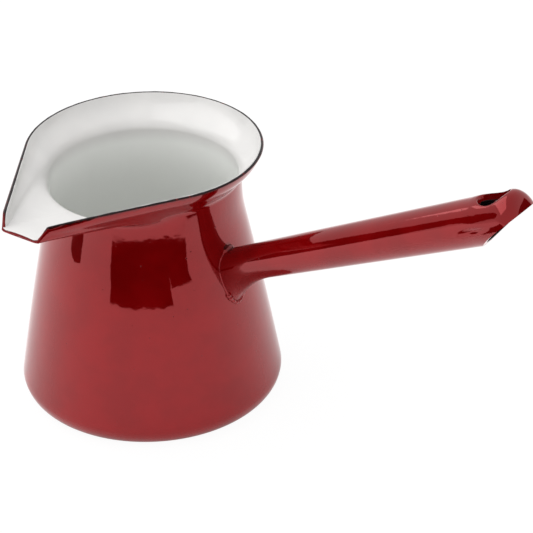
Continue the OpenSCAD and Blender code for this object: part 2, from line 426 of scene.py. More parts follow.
# ---------------------------------------------------------------------------------------------- mesh helpers
def mesh_object(name: str, points: np.ndarray, faces: Sequence, edges: Sequence = ()) -> bpy.types.Object:
    """Makes a linked object from points in millimetres.

    Args:
        name: The object's name.
        points: Its points, one row each.
        faces: Its faces as point numbers.
        edges: Its loose edges.

    Returns:
        The object, at the origin.
    """
    mesh = bpy.data.meshes.new(name)
    mesh.from_pydata((np.asarray(points) * MM).tolist(), list(edges), list(faces))
    mesh.update()
    made = bpy.data.objects.new(name, mesh)
    bpy.context.scene.collection.objects.link(made)
    return made


def band(a: int, b: int, n: int, outwards: bool = True) -> list:
    """Quads between two rings of n points that start at a and b."""
    quads = [(a + j, a + (j + 1) % n, b + (j + 1) % n, b + j) for j in range(n)]
    return quads if outwards else [q[::-1] for q in quads]


def fan(centre: int, ring: int, n: int, outwards: bool) -> list:
    """Triangles from a pole to a ring of n points."""
    tris = [(centre, ring + (j + 1) % n, ring + j) for j in range(n)]
    return tris if outwards else [t[::-1] for t in tris]


def evaluated_copy(source: bpy.types.Object, name: str) -> bpy.types.Object:
    """Turns an object's modifiers into a plain mesh in a new object, and removes the first one.

    Args:
        source: The object with modifiers.
        name: Name for the new object.

    Returns:
        The new object.
    """
    graph = bpy.context.evaluated_depsgraph_get()
    evaluated = source.evaluated_get(graph)
    mesh = bpy.data.meshes.new_from_object(evaluated, preserve_all_data_layers=True, depsgraph=graph)
    bpy.data.objects.remove(source, do_unlink=True)
    mesh.name = name
    made = bpy.data.objects.new(name, mesh)
    bpy.context.scene.collection.objects.link(made)
    return made


def carve(target: bpy.types.Object, cutters: Sequence[bpy.types.Object]) -> bpy.types.Object:
    """Cuts closed solids out of another.

    Args:
        target: The solid that is cut.
        cutters: The solids that are taken away.

    Returns:
        The cut solid.
    """
    name = target.name
    for cutter in cutters:
        cut = target.modifiers.new("cut", "BOOLEAN")
        cut.operation, cut.solver, cut.object = "DIFFERENCE", "MANIFOLD", cutter
    target.name = name + "_raw"
    return evaluated_copy(target, name)


def face_out(piece: bpy.types.Object) -> None:
    """Merges doubles and points the faces of a closed mesh outwards."""
    work = bmesh.new()
    work.from_mesh(piece.data)
    bmesh.ops.remove_doubles(work, verts=work.verts, dist=1e-6)
    bmesh.ops.recalc_face_normals(work, faces=work.faces)
    work.to_mesh(piece.data)
    work.free()


def finish_piece(piece: bpy.types.Object, material: bpy.types.Material, replaced: Sequence[str],
                 sharp_deg: float = 40.0) -> bpy.types.Object:
    """Shades a piece, gives it its material and ties it to the frame.

    Args:
        piece: The finished mesh.
        material: Its material.
        replaced: CAD nodes that it stands for.
        sharp_deg: Edges that turn more than this stay sharp.

    Returns:
        The piece.
    """
    mesh = piece.data
    mesh.materials.clear()
    mesh.materials.append(material)
    mesh.shade_smooth()
    mesh.set_sharp_from_angle(angle=math.radians(sharp_deg))
    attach(piece, BODY)
    if replaced:
        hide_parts(*replaced)
    triangles = sum(len(p.vertices) - 2 for p in mesh.polygons)
    log.info("%s: %d triangles", piece.name, triangles)
    return piece


class Recipe:
    """A Geometry Nodes tree with named inputs."""

    def __init__(self, name: str, inputs: dict) -> None:
        """Makes the tree's interface.

        Args:
            name: The tree's name.
            inputs: Name and default of each input; a float, an int or a material.
        """
        kinds = {float: "NodeSocketFloat", int: "NodeSocketInt"}
        self.tree = bpy.data.node_groups.new(name, "GeometryNodeTree")
        self.graph = Graph(self.tree)
        self.sockets = {}
        self.tree.interface.new_socket("Geometry", in_out="INPUT", socket_type="NodeSocketGeometry")
        for label, value in inputs.items():
            kind = kinds.get(type(value), "NodeSocketMaterial")
            socket = self.tree.interface.new_socket(label, in_out="INPUT", socket_type=kind)
            if kind != "NodeSocketMaterial":
                socket.default_value = value
            self.sockets[label] = socket.identifier
        self.tree.interface.new_socket("Geometry", in_out="OUTPUT", socket_type="NodeSocketGeometry")
        self.start = self.graph.node("NodeGroupInput")

    def value(self, label: str) -> Wire:
        """The wire of a named input."""
        return self.graph.wire(self.start, label)

    def close(self, geometry: Wire) -> None:
        """Ends the tree in Realize Instances and Set Material."""
        solid = self.graph.wire(self.graph.node("GeometryNodeRealizeInstances", i0=geometry))
        dressed = self.graph.node("GeometryNodeSetMaterial", Geometry=solid, Material=self.value("Material"))
        self.graph.node("NodeGroupOutput", Geometry=self.graph.wire(dressed))

    def grow(self, name: str, host: bpy.types.Object, values: dict) -> bpy.types.Object:
        """Runs the tree on a host object.

        Args:
            name: Name for the result.
            host: The object that the tree starts from; it is used up.
            values: Input values by name.

        Returns:
            The result as a plain mesh object.
        """
        modifier = host.modifiers.new("recipe", "NODES")
        modifier.node_group = self.tree
        for label, value in values.items():
            modifier[self.sockets[label]] = value
        host.name = name + "_host"
        return evaluated_copy(host, name)


# ---------------------------------------------------------------------------------------------- the pot
@dataclass(frozen=True)
class PotSizes:
    """Sizes of the pot in millimetres; the first three come from the frame."""

    base_r: float
    rim_z: float
    tip_reach: float
    base_edge_r: float = 7.4
    neck_r: float = 36.6
    neck_len: float = 12.0
    neck_bend_h: float = 2.6
    side_swell: float = 0.4
    neck_softness: float = 0.5
    collar_h: float = 10.7
    collar_flare: float = 7.6
    collar_bow: float = 0.75
    rim_setback: float = 1.1
    tip_rake: float = 3.9
    tip_floor_half_w: float = 8.1
    tip_wall_splay: float = 2.3
    tip_corner_r: float = 1.6
    tip_wall_h: float = 5.3
    steel_t: float = 0.8
    enamel_t: float = 0.25
    lip_room: float = 0.72

    @classmethod
    def from_frame(cls) -> "PotSizes":
        """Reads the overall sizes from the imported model."""
        low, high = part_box("outer_enamel")
        return cls(base_r=-low.x / MM, rim_z=high.z / MM, tip_reach=-low.y / MM)

    @property
    def neck_z(self) -> float:
        """Height at which the collar begins."""
        return self.rim_z - self.collar_h

    @property
    def crease_z(self) -> float:
        """Height of the crease under the collar."""
        return self.neck_z + self.neck_bend_h / 4

    @property
    def wall_t(self) -> float:
        """Thickness of the steel and both coats."""
        return self.steel_t + 2 * self.enamel_t

    def body_r(self, z: np.ndarray) -> np.ndarray:
        """Outside radius of the body at a height: a swelling cone that runs into a straight neck."""
        share = (z - self.base_edge_r) / (self.neck_z - self.neck_len - self.base_edge_r)
        cone = self.base_r + (self.neck_r - self.base_r) * share
        cone = cone + self.side_swell * np.sin(np.pi * np.minimum(1, share))
        return self.neck_r + self.neck_softness * np.log1p(np.exp((cone - self.neck_r) / self.neck_softness))


@dataclass
class Pot:
    """The steel pot and its coats."""

    sizes: PotSizes
    front: int = 2
    corner: int = 3
    wall: int = 5
    arc: int = 20
    corner_pitch: float = 1.3
    corner_round: float = 0.11
    bend_round: float = 2.2
    fold_round: float = 2.0
    round_share: float = 0.42
    tip_columns: int = 50
    wall_columns: int = 36
    arc_columns: int = 91
    base_shares: tuple = (0.0, 0.12, 0.4, 0.7, 0.9)
    edge_rows: int = 13
    side_rows: int = 39
    bend_rows: int = 7
    floor_rows: int = 12
    fold_rows: int = 8
    wall_rows: int = 12

    def __post_init__(self) -> None:
        """Works out the corners of the spout and the grid of the outside surface."""
        s = self.sizes
        self.half = self.front + self.corner + self.wall + self.arc
        self.low_corner = np.array([s.tip_floor_half_w, -s.tip_reach, s.rim_z - s.tip_wall_h])
        self.top_corner = np.array([s.tip_floor_half_w + s.tip_wall_splay, s.tip_rake - s.tip_reach, s.rim_z])
        self.rim_r = s.neck_r + s.collar_flare
        self.crease_touch = self.touch_angle(self.low_corner, s.neck_r)
        self.rim_touch = self.touch_angle(self.top_corner - [0, s.rim_setback, 0], self.rim_r)
        wall_start, arc_start = self.front + self.corner, self.half - self.arc
        self.steps = np.concatenate([np.linspace(0, wall_start, self.tip_columns, endpoint=False),
                                     np.linspace(wall_start, arc_start, self.wall_columns, endpoint=False),
                                     np.linspace(arc_start, self.half, self.arc_columns)])
        self.grid = self.outside()
        self.normals = self.outward()

    @staticmethod
    def touch_angle(corner: np.ndarray, r: float) -> float:
        """Angle at which a line from a spout corner touches a circle round the axis."""
        return math.atan2(corner[0], -corner[1]) + math.acos(r / math.hypot(corner[0], corner[1]))

    @staticmethod
    def around(r: np.ndarray, angle: np.ndarray, z: np.ndarray) -> np.ndarray:
        """Points at a radius, an angle from the spout towards the handle, and a height."""
        return np.stack(np.broadcast_arrays(r * np.sin(angle), -r * np.cos(angle), z), -1)

    @staticmethod
    def round_back(start: float, f: np.ndarray) -> np.ndarray:
        """Angles from a start round to the far side.

        Args:
            start: The first angle.
            f: Shares of the way, from 0 to 1.

        Returns:
            The angles.
        """
        return start + (math.pi - start) * f[:, 0]

    def along(self, k: np.ndarray, at_front: Callable, at_corner: Callable, at_wall: Callable,
              at_arc: Callable) -> np.ndarray:
        """Joins the four stretches of half a level.

        Args:
            k: Place along the level, from 0 at the spout's middle to half at the far side.
            at_front: Points along the spout's front for a share from 0 to 1.
            at_corner: Points up the spout's corner.
            at_wall: Points along the spout's side wall.
            at_arc: Points round the far arc.

        Returns:
            One point for each place.
        """
        ends = np.cumsum([self.front, self.corner, self.wall, self.arc])
        starts = ends - [self.front, self.corner, self.wall, self.arc]
        out = np.zeros((len(k), 3))
        for run, start, end in zip((at_front, at_corner, at_wall, at_arc), starts, ends):
            here = (k >= start) & (k <= end)
            out[here] = run(((k[here] - start) / (end - start))[:, None])
        return out

    def crease_half(self, k: np.ndarray) -> np.ndarray:
        """Points of the fold between the spout's floor and wall, and of the crease round the neck."""
        s = self.sizes
        end = self.around(s.neck_r, self.crease_touch, s.crease_z)
        first = self.corner_pitch / np.linalg.norm(end - self.low_corner)
        last = first * (1 + self.corner)
        line = lambda f: self.low_corner + (end - self.low_corner) * f
        tip = line(first)
        return self.along(
            k,
            lambda f: np.concatenate([tip[0] * f, np.full_like(f, tip[1]), np.full_like(f, tip[2])], 1),
            lambda f: line(first + (last - first) * f),
            lambda f: line(last + (1 - last) * f),
            lambda f: self.around(s.neck_r, self.round_back(self.crease_touch, f), s.crease_z))

    def rim_half(self, k: np.ndarray) -> np.ndarray:
        """Points of the rim."""
        s = self.sizes
        low, top = self.low_corner, self.top_corner
        back = np.array([0, s.rim_setback, 0])
        join = self.around(self.rim_r, self.rim_touch, s.rim_z) + back
        flat = low[0] - s.tip_corner_r
        return self.along(
            k,
            lambda f: np.concatenate([flat * f, np.full_like(f, low[1]), np.full_like(f, low[2])], 1),
            lambda f: low + (top - low) * f,
            lambda f: top + (join - top) * f,
            lambda f: self.around(self.rim_r, self.round_back(self.rim_touch, f), s.rim_z) + back)

    def level(self, half_path: Callable) -> np.ndarray:
        """A whole level with its corners rounded, mirrored across the plane through the spout.

        Args:
            half_path: Function that gives the points of half the level.

        Returns:
            One point for each column.
        """
        total = np.zeros((len(self.steps), 3))
        offsets = np.arange(-6, 7) * self.corner_round / 3
        weights = 7 - np.abs(np.arange(-6, 7))
        for offset, weight in zip(offsets, weights / weights.sum()):
            k = self.steps + offset
            mirrored = (k < 0) | (k > self.half)
            k = np.where(k < 0, -k, np.where(k > self.half, 2 * self.half - k, k))
            points = half_path(k)
            points[mirrored, 0] *= -1
            total += weight * points
        total[0, 0] = total[-1, 0] = 0
        other = total[-2:0:-1] * [-1, 1, 1]
        return np.concatenate([total, other])

    def outside(self) -> np.ndarray:
        """The outside surface as a grid, from the middle of the base up to the rim.

        Returns:
            An array of rows, columns and coordinates.
        """
        s = self.sizes
        crease, rim = self.level(self.crease_half), self.level(self.rim_half)
        angles = np.arctan2(crease[:, 0], -crease[:, 1])
        angles[len(self.steps) - 1] = math.pi
        even = np.concatenate([self.steps, self.steps[-2:0:-1] * -1]) * math.pi / self.half
        bend_z = s.crease_z - s.neck_bend_h
        rows = []
        disc = s.base_r - s.base_edge_r
        for share in self.base_shares:
            rows.append(self.around(disc * share, even, 0.0))
        for turn in np.linspace(0, math.pi / 2, self.edge_rows):
            rows.append(self.around(disc + s.base_edge_r * math.sin(turn), even,
                                    s.base_edge_r * (1 - math.cos(turn))))
        top = bend_z - self.bend_round
        for share in self.rising(self.side_rows):
            z = s.base_edge_r + (top - s.base_edge_r) * share
            rows.append(self.around(s.body_r(z), even + (angles - even) * share ** 3, z))
        side_end = rows[-1]
        bend = self.around(s.body_r(bend_z), angles, bend_z)
        floor = crease - bend
        length = np.linalg.norm(floor, axis=1, keepdims=True)
        leave = bend + floor * np.minimum(self.round_share, self.bend_round / length)
        for f in self.rising(self.bend_rows):
            rows.append(self.bezier(side_end, bend, leave, f))
        wall = rim - crease
        wall_len = np.linalg.norm(wall, axis=1, keepdims=True)
        arrive = crease - floor * np.minimum(self.round_share, self.fold_round / length)
        depart = crease + wall * np.minimum(self.round_share, self.fold_round / wall_len)
        for f in self.rising(self.floor_rows):
            rows.append(leave + (arrive - leave) * f)
        for f in self.rising(self.fold_rows):
            rows.append(self.bezier(arrive, crease, depart, f))
        out_dir = np.cross(np.roll(rim, -1, 0) - np.roll(rim, 1, 0), wall)
        out_dir /= np.linalg.norm(out_dir, axis=1, keepdims=True) + 1e-9
        bow = s.collar_bow * np.minimum(1, wall_len / wall_len.max())
        for f in self.rising(self.wall_rows):
            rows.append(depart + (rim - depart) * f + out_dir * bow * math.sin(math.pi * f ** 1.3))
        return np.array(rows)

    @staticmethod
    def rising(count: int) -> np.ndarray:
        """Even shares up to 1, without the 0 that the row before them holds.

        Args:
            count: Number of shares.

        Returns:
            The shares.
        """
        return np.linspace(0, 1, count + 1)[1:]

    @staticmethod
    def bezier(a: np.ndarray, b: np.ndarray, c: np.ndarray, f: float) -> np.ndarray:
        """Point at share f of the curve from a to c that b pulls."""
        return (1 - f) ** 2 * a + 2 * f * (1 - f) * b + f ** 2 * c

    def outward(self) -> np.ndarray:
        """Unit outward direction at each point of the grid."""
        g = self.grid
        across = np.roll(g, -1, 1) - np.roll(g, 1, 1)
        up = np.gradient(g, axis=0)
        n = np.cross(across, up)
        size = np.linalg.norm(n, axis=2, keepdims=True)
        n = np.where(size > 1e-9, n / np.maximum(size, 1e-9), [0, 0, -1.0])
        n[:len(self.base_shares)] = [0, 0, -1.0]
        return n

    def surface(self, depth: float) -> np.ndarray:
        """The grid moved inwards by a depth."""
        return self.grid - depth * self.normals

    def wall_piece(self, name: str, outer: float, inner: float) -> bpy.types.Object:
        """A closed wall between two depths, open at the rim like the pot.

        Args:
            name: The piece's name.
            outer: Depth of its outer face.
            inner: Depth of its inner face.

        Returns:
            The piece.
        """
        faces_out, faces_in = self.surface(outer)[1:], self.surface(inner)[1:]
        rows, n = faces_out.shape[:2]
        poles = np.array([[0, 0, outer], [0, 0, inner]])
        points = np.concatenate([faces_out.reshape(-1, 3), faces_in.reshape(-1, 3), poles])
        inside, pole = rows * n, 2 * rows * n
        faces = [q for i in range(rows - 1) for q in band(i * n, (i + 1) * n, n)]
        faces += [q for i in range(rows - 1) for q in band(inside + i * n, inside + (i + 1) * n, n, False)]
        faces += band((rows - 1) * n, inside + (rows - 1) * n, n)
        faces += fan(pole, 0, n, True) + fan(pole + 1, inside, n, False)
        return mesh_object(name, points, faces)

    def core(self, depth: float) -> bpy.types.Object:
        """The body below the collar as a closed solid, for trimming what meets its side."""
        side_end = len(self.base_shares) + self.edge_rows + self.side_rows
        rows = self.surface(depth)[1:side_end]
        count, n = rows.shape[:2]
        points = np.concatenate([rows.reshape(-1, 3), [[0, 0, depth], [0, 0, rows[-1, 0, 2]]]])
        faces = [q for i in range(count - 1) for q in band(i * n, (i + 1) * n, n)]
        faces += fan(count * n, 0, n, True) + fan(count * n + 1, (count - 1) * n, n, False)
        return mesh_object("pot_core", points, faces)

    def build(self, red: bpy.types.Material, white: bpy.types.Material, steel: bpy.types.Material,
              rim: bpy.types.Material) -> None:
        """Builds the steel, both coats and the rim's coat.

        Args:
            red: Material of the outer coat.
            white: Material of the inner coat.
            steel: Material of the sheet.
            rim: Material of the coat along the rim.
        """
        s = self.sizes
        lining = s.enamel_t + s.steel_t
        walls = (("outer_red_coat", 0.0, s.enamel_t, red, Slot.RED, "outer_enamel"),
                 ("pot_steel", s.enamel_t, lining, steel, Slot.STEEL, "pot_shell"),
                 ("inner_white_coat", lining, s.wall_t, white, Slot.WHITE, "inner_enamel"))
        for name, outer, inner, material, slot, node in walls:
            finish_piece(self.wall_piece(name, outer, inner), material, [node])
        finish_piece(self.rim_coat(rim), rim, ["rim_edge"])

    def rim_coat(self, material: bpy.types.Material) -> bpy.types.Object:
        """The uneven coat along the cut edge, swept along the rim by Geometry Nodes."""
        outer, inner = self.surface(0.0), self.surface(self.sizes.wall_t)
        middle = (outer[-1] + inner[-1]) / 2
        down = outer[-1] - outer[-2]
        down /= np.linalg.norm(down, axis=1, keepdims=True)
        path = middle - 0.12 * down
        path[:, 1] = np.maximum(path[:, 1], self.sizes.lip_room - self.sizes.tip_reach)
        n = len(path)
        host = mesh_object("rim_path", path, [], [(j, (j + 1) % n) for j in range(n)])
        recipe = Recipe("swept_coat", {"Thickness": 0.0005, "Unevenness": 0.3, "Grain": 400.0, "Sides": 12,
                                       "Seed": 3, "Material": None})
        g = recipe.graph
        curve = g.wire(g.node("GeometryNodeMeshToCurve", Mesh=recipe.value("Geometry")))
        place = g.wire(g.node("GeometryNodeInputPosition"))
        noise = g.wire(g.node("ShaderNodeTexNoise", {"noise_dimensions": "4D"}, Vector=place,
                              W=recipe.value("Seed"), Scale=recipe.value("Grain"), Detail=3.0))
        lip = 1 - g.wire(g.node("ShaderNodeSeparateXYZ", i0=place), 1).ramp(-68.5 * MM, -67 * MM)
        size = 1 + (noise - 0.5) * 2 * recipe.value("Unevenness") + lip * 0.4
        curve = g.wire(g.node("GeometryNodeSetCurveRadius", Curve=curve, Radius=size))
        ring = g.wire(g.node("GeometryNodeCurvePrimitiveCircle", {"mode": "RADIUS"}, i0=recipe.value("Sides"),
                             Radius=recipe.value("Thickness")))
        swept = g.node("GeometryNodeCurveToMesh", Curve=curve, Profile_Curve=ring, Scale=size)
        recipe.close(g.wire(swept))
        piece = recipe.grow("rim_ground_coat", host, {"Thickness": 0.47 * MM, "Unevenness": 0.4,
                                                      "Grain": 1 / (4 * MM), "Material": material})
        face_out(piece)
        return piece


# ---------------------------------------------------------------------------------------------- the handle
@dataclass(frozen=True)
class HandleSizes:
    """Sizes of the handle in millimetres; the first three come from the frame."""

    rise: float
    tube_reach: float
    tip_t: float
    bury_t: float = 32.6
    axis_z: float = 43.5
    root_r: float = 6.25
    end_r: float = 8.5
    neck_r: float = 36.6
    steel_t: float = 0.9
    enamel_t: float = 0.25
    foot_drop: float = 6.4
    foot_len: float = 20.0
    foot_end_t: float = 62.6
    nose_len: float = 7.0
    nose_fullness: float = 3.0
    hole_r: float = 6.2
    hole_half_w: float = 5.2
    hole_offset: float = 10.5
    tongue_len: float = 20.7
    lip_r: float = 0.8
    lip_swell: float = 0.08
    flange: float = 1.0
    pinch: float = 0.7
    pinch_t: float = 164.0
    tongue_flare: float = 0.07
    scoop_start_slope: float = 0.64
    scoop_end_slope: float = 0.3
    scoop_ease: float = 12.0
    scoop_steps: int = 12

    @classmethod
    def from_frame(cls) -> "HandleSizes":
        """Reads the handle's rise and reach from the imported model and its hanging-hole mount."""
        mount = next(m for m in frame["record"]["mounts"] if m["name"] == "hang_hole")
        rise = math.atan2(-mount["axis"][0], mount["axis"][2])
        hole_x, _, hole_z = mount["pos_m"]
        hole_t = hole_x / MM * math.cos(rise) + (hole_z / MM - cls.axis_z) * math.sin(rise)
        tube_reach = hole_t - cls.hole_offset
        return cls(rise=rise, tube_reach=tube_reach, tip_t=tube_reach + cls.tongue_len)

    @property
    def hole_t(self) -> float:
        """Place of the hanging hole along the handle."""
        return self.tube_reach + self.hole_offset

    def scoop_rise(self, along: float) -> float:
        """Height of the cut above the tube's lower side, as its slope eases off towards the tip.

        Args:
            along: Distance past the end of the closed tube.

        Returns:
            The height.
        """
        eased = self.scoop_ease * (1 - math.exp(-along / self.scoop_ease))
        return self.scoop_end_slope * along + (self.scoop_start_slope - self.scoop_end_slope) * eased

    def to_pot(self, points: np.ndarray) -> np.ndarray:
        """Points of the handle's own frame, in the pot's frame."""
        t, y, h = np.moveaxis(np.asarray(points, float), -1, 0)
        c, s = math.cos(self.rise), math.sin(self.rise)
        return np.stack([t * c - h * s, y, self.axis_z + t * s + h * c], -1)


@dataclass
class Handle:
    """The hollow handle, its coats and the weld at its foot."""

    sizes: HandleSizes
    pot: Pot
    around: int = 128
    along: int = 210

    def recipe(self) -> Recipe:
        """The tree that shapes one closed surface of the handle at a depth below its outside."""
        s = self.sizes
        recipe = Recipe("tapered_handle", {
            "Depth": 0.0, "Root radius": s.root_r * MM, "End radius": s.end_r * MM,
            "Foot drop": s.foot_drop * MM, "Foot length": s.foot_len * MM, "Tube reach": s.tube_reach * MM,
            "Tip": s.tip_t * MM, "Lip": s.lip_r * MM, "Swell": s.lip_swell * MM, "Pinch": s.pinch * MM,
            "Flare": s.tongue_flare, "Flange": 0.0, "Material": None})
        g, value = recipe.graph, recipe.value
        sheet = g.node("GeometryNodeMeshGrid", Size_X=1.0, Size_Y=1.0, Vertices_X=self.around + 1,
                       Vertices_Y=self.along)
        xyz = g.node("ShaderNodeSeparateXYZ", i0=g.wire(g.node("GeometryNodeInputPosition")))
        turn = (g.wire(xyz, 0) + 0.5) * (2 * math.pi)
        v = (g.wire(xyz, 1) + 0.5) * (self.along - 1)
        open_end, shaft_end, end_end, last = 1.0, 80.0, 185.0, float(self.along - 1)
        depth = value("Depth")
        nose_start = value("Tip") - s.nose_len * MM
        dense_start = value("Tube reach") - 12 * MM
        shaft = v.share(open_end, shaft_end)
        dense = v.share(shaft_end, end_end)
        nose = (v.share(end_end, last) * (math.pi / 2)).math("SINE")
        t = (shaft * (dense_start - s.bury_t * MM) + dense * (nose_start - dense_start) + s.bury_t * MM
             + nose * (s.nose_len * MM - depth))
        full = (1 - (nose ** s.nose_fullness)).math("MAXIMUM", 0.0) ** (1 / s.nose_fullness)
        full = full * v.share(0.0, open_end)
        taper = (t - s.neck_r * MM) / (value("Tube reach") - s.neck_r * MM)
        half_w = (value("Root radius") + (value("End radius") - value("Root radius")) * taper - depth) * full
        cosine, sine = turn.math("COSINE"), turn.math("SINE")
        spread = ((s.foot_end_t * MM - t).math("MAXIMUM", 0.0) / value("Foot length")) ** 2
        below = spread * value("Foot drop") * (cosine < 0.0) * full
        h = (half_w + below) * cosine
        y = half_w * sine * -1
        on_tongue = t.ramp((s.tube_reach - 3) * MM, (s.tube_reach + 8) * MM)
        y = y * (1 + on_tongue * value("Flare") * (1 - cosine.ramp(-0.3, 0.7)))
        dent = self.bell(t, s.pinch_t * MM, 4.5 * MM) * self.bell(h, -0.3 * MM, 0.9 * MM) * value("Pinch")
        y = y + dent * y.math("SIGN") * -1
        across = y * (s.hole_r / s.hole_half_w)
        from_hole = ((t - s.hole_t * MM) ** 2 + across * across).math("SQRT")
        on_top = cosine.ramp(0.0, 0.35)
        lip = value("Lip")
        inside_lip = (lip - (from_hole - s.hole_r * MM)).math("MAXIMUM", 0.0).math("MINIMUM", lip)
        curl = lip - ((lip ** 2) - inside_lip * inside_lip).math("MAXIMUM", 0.0).math("SQRT")
        swell = self.bell(from_hole, (s.hole_r + 2.1) * MM, 1.3 * MM) * value("Swell")
        flange = (1 - from_hole.ramp((s.hole_r + 0.2) * MM, (s.hole_r + 1.5) * MM)) * value("Flange")
        near_side = 1 - y.ramp(0.5 * MM, 4 * MM) * 0.9
        h = h + (swell - curl * near_side - flange) * on_top
        point = g.wire(g.node("ShaderNodeCombineXYZ", X=t, Y=y, Z=h))
        shaped = g.wire(g.node("GeometryNodeSetPosition", Geometry=g.wire(sheet), Position=point))
        closed = g.wire(g.node("GeometryNodeMergeByDistance", Geometry=shaped, Distance=1e-6))
        placed = g.wire(g.node("GeometryNodeTransform", Geometry=closed, Translation=(0, 0, s.axis_z * MM),
                               Rotation=(0, -s.rise, 0)))
        recipe.close(placed)
        return recipe

    @staticmethod
    def bell(x: Wire, middle: float, width: float) -> Wire:
        """Bell curve of height 1.

        Args:
            x: Where it is taken.
            middle: Its middle.
            width: Its half width.

        Returns:
            The height.
        """
        away = (x - middle) / width
        return ((away * away) * -1).math("EXPONENT")

    def solid(self, recipe: Recipe, name: str, depth: float, material: bpy.types.Material,
              lip: float = 0.0, swell: float = 0.0, flange: float = 0.0) -> bpy.types.Object:
        """One closed surface of the handle as a solid.

        Args:
            recipe: The handle's tree.
            name: The solid's name.
            depth: Depth below the outside, in millimetres.
            material: Its material.
            lip: Radius of the rounding into the hanging hole.
            swell: Height of the raised ring round the hole.
            flange: How far the surface dips round the hole.

        Returns:
            The solid.
        """
        host = mesh_object("handle_host", np.zeros((1, 3)), [])
        made = recipe.grow(name, host, {"Depth": depth * MM, "Lip": max(lip, 1e-4) * MM, "Swell": swell * MM,
                                        "Flange": flange * MM, "Material": material})
        face_out(made)
        return made

    def scoop(self, set_back: float) -> bpy.types.Object:
        """What is cut away under the tongue, along a line that flattens towards the tip.

        Args:
            set_back: How much more than the nominal cut is taken away.

        Returns:
            The cutter.
        """
        s, far = self.sizes, 60.0
        places = np.linspace(0, s.tongue_len, s.scoop_steps + 1)
        edge = [(s.tube_reach + along, s.scoop_rise(along) - s.end_r) for along in places]
        last_t, last_h = edge[-1]
        line = [(s.tube_reach, -far), *edge, (last_t + far, last_h + far / 3), (last_t + far, -far)]
        line = [(t - set_back * 0.5, h + set_back) for t, h in line]
        points = np.array([[t, y, h] for y in (-far, far) for t, h in line])
        n = len(line)
        faces = [tuple(range(n)), tuple(range(2 * n - 1, n - 1, -1))]
        faces += [(j, (j + 1) % n, n + (j + 1) % n, n + j) for j in range(n)]
        made = mesh_object("scoop_cutter", s.to_pot(points), faces)
        face_out(made)
        return made

    def drill(self, r: float) -> bpy.types.Object:
        """The cutter of the hanging hole, down through the crown of the tube only."""
        s, n = self.sizes, 96
        angles = np.linspace(0, 2 * math.pi, n, endpoint=False)
        half_w = r - s.hole_r + s.hole_half_w
        rings = [np.stack([s.hole_t + r * np.cos(angles), half_w * np.sin(angles), np.full(n, h)], 1)
                 for h in (0.0, 30.0)]
        points = np.concatenate(rings)
        faces = band(0, n, n) + [tuple(range(n)), tuple(range(2 * n - 1, n - 1, -1))]
        made = mesh_object("hole_cutter", s.to_pot(points), faces)
        face_out(made)
        return made

    def build(self, red: bpy.types.Material, dark: bpy.types.Material, steel: bpy.types.Material) -> None:
        """Builds the steel tube, its coats and the weld.

        Args:
            red: Material of the cover coat.
            dark: Material of the ground coat inside the tube.
            steel: Material of the sheet.
        """
        s = self.sizes
        recipe = self.recipe()
        lining, inside = s.enamel_t + s.steel_t, 2 * s.enamel_t + s.steel_t
        core = self.pot.core(0.5)
        cut, wide_cut = self.scoop(0.0), self.scoop(0.3)
        hole, wide_hole = self.drill(s.hole_r), self.drill(s.hole_r + 1.3)
        skin = self.solid(recipe, "handle_skin", 0.0, red, s.lip_r, s.lip_swell)
        face = self.solid(recipe, "handle_face", s.enamel_t, steel)
        bore = self.solid(recipe, "handle_bore", lining, dark, flange=s.flange)
        hollow = self.solid(recipe, "handle_hollow", inside, dark, flange=s.flange)
        tube = self.copy(face, "handle_steel_tube")
        tube = carve(tube, [bore, wide_cut, wide_hole, core])
        coat = carve(self.copy(skin, "handle_red_coat"), [bore, cut, hole, core, tube])
        liner = carve(self.copy(bore, "handle_dark_lining"), [hollow, cut, hole, core])
        for cutter in (skin, face, bore, hollow, core, cut, wide_cut, hole, wide_hole):
            bpy.data.objects.remove(cutter, do_unlink=True)
        finish_piece(tube, steel, ["handle_tube"])
        finish_piece(coat, red, ["handle_enamel"])
        finish_piece(liner, dark, ["handle_lining"])
        finish_piece(self.weld(red), red, ["weld_bead"])

    @staticmethod
    def copy(source: bpy.types.Object, name: str) -> bpy.types.Object:
        """A copy of an object with its own mesh."""
        made = bpy.data.objects.new(name, source.data.copy())
        bpy.context.scene.collection.objects.link(made)
        return made

    def foot_line(self, count: int = 160) -> np.ndarray:
        """Points of the join of handle and pot, by repeated correction.

        Args:
            count: Number of points.

        Returns:
            The points in millimetres, in the pot's frame.
        """
        s = self.sizes
        angles = np.linspace(0, 2 * math.pi, count, endpoint=False)
        t = np.full(count, s.neck_r)
        for _ in range(12):
            half_w = s.root_r + (s.end_r - s.root_r) * (t - s.neck_r) / (s.tube_reach - s.neck_r)
            spread = (np.maximum(0, s.foot_end_t - t) / s.foot_len) ** 2
            below = np.where(np.cos(angles) < 0, s.foot_drop * spread, 0)
            points = s.to_pot(np.stack([t, -half_w * np.sin(angles), (half_w + below) * np.cos(angles)], 1))
            gap = self.pot.sizes.body_r(points[:, 2]) - np.hypot(points[:, 0], points[:, 1])
            t = t + gap / math.cos(s.rise)
        return points

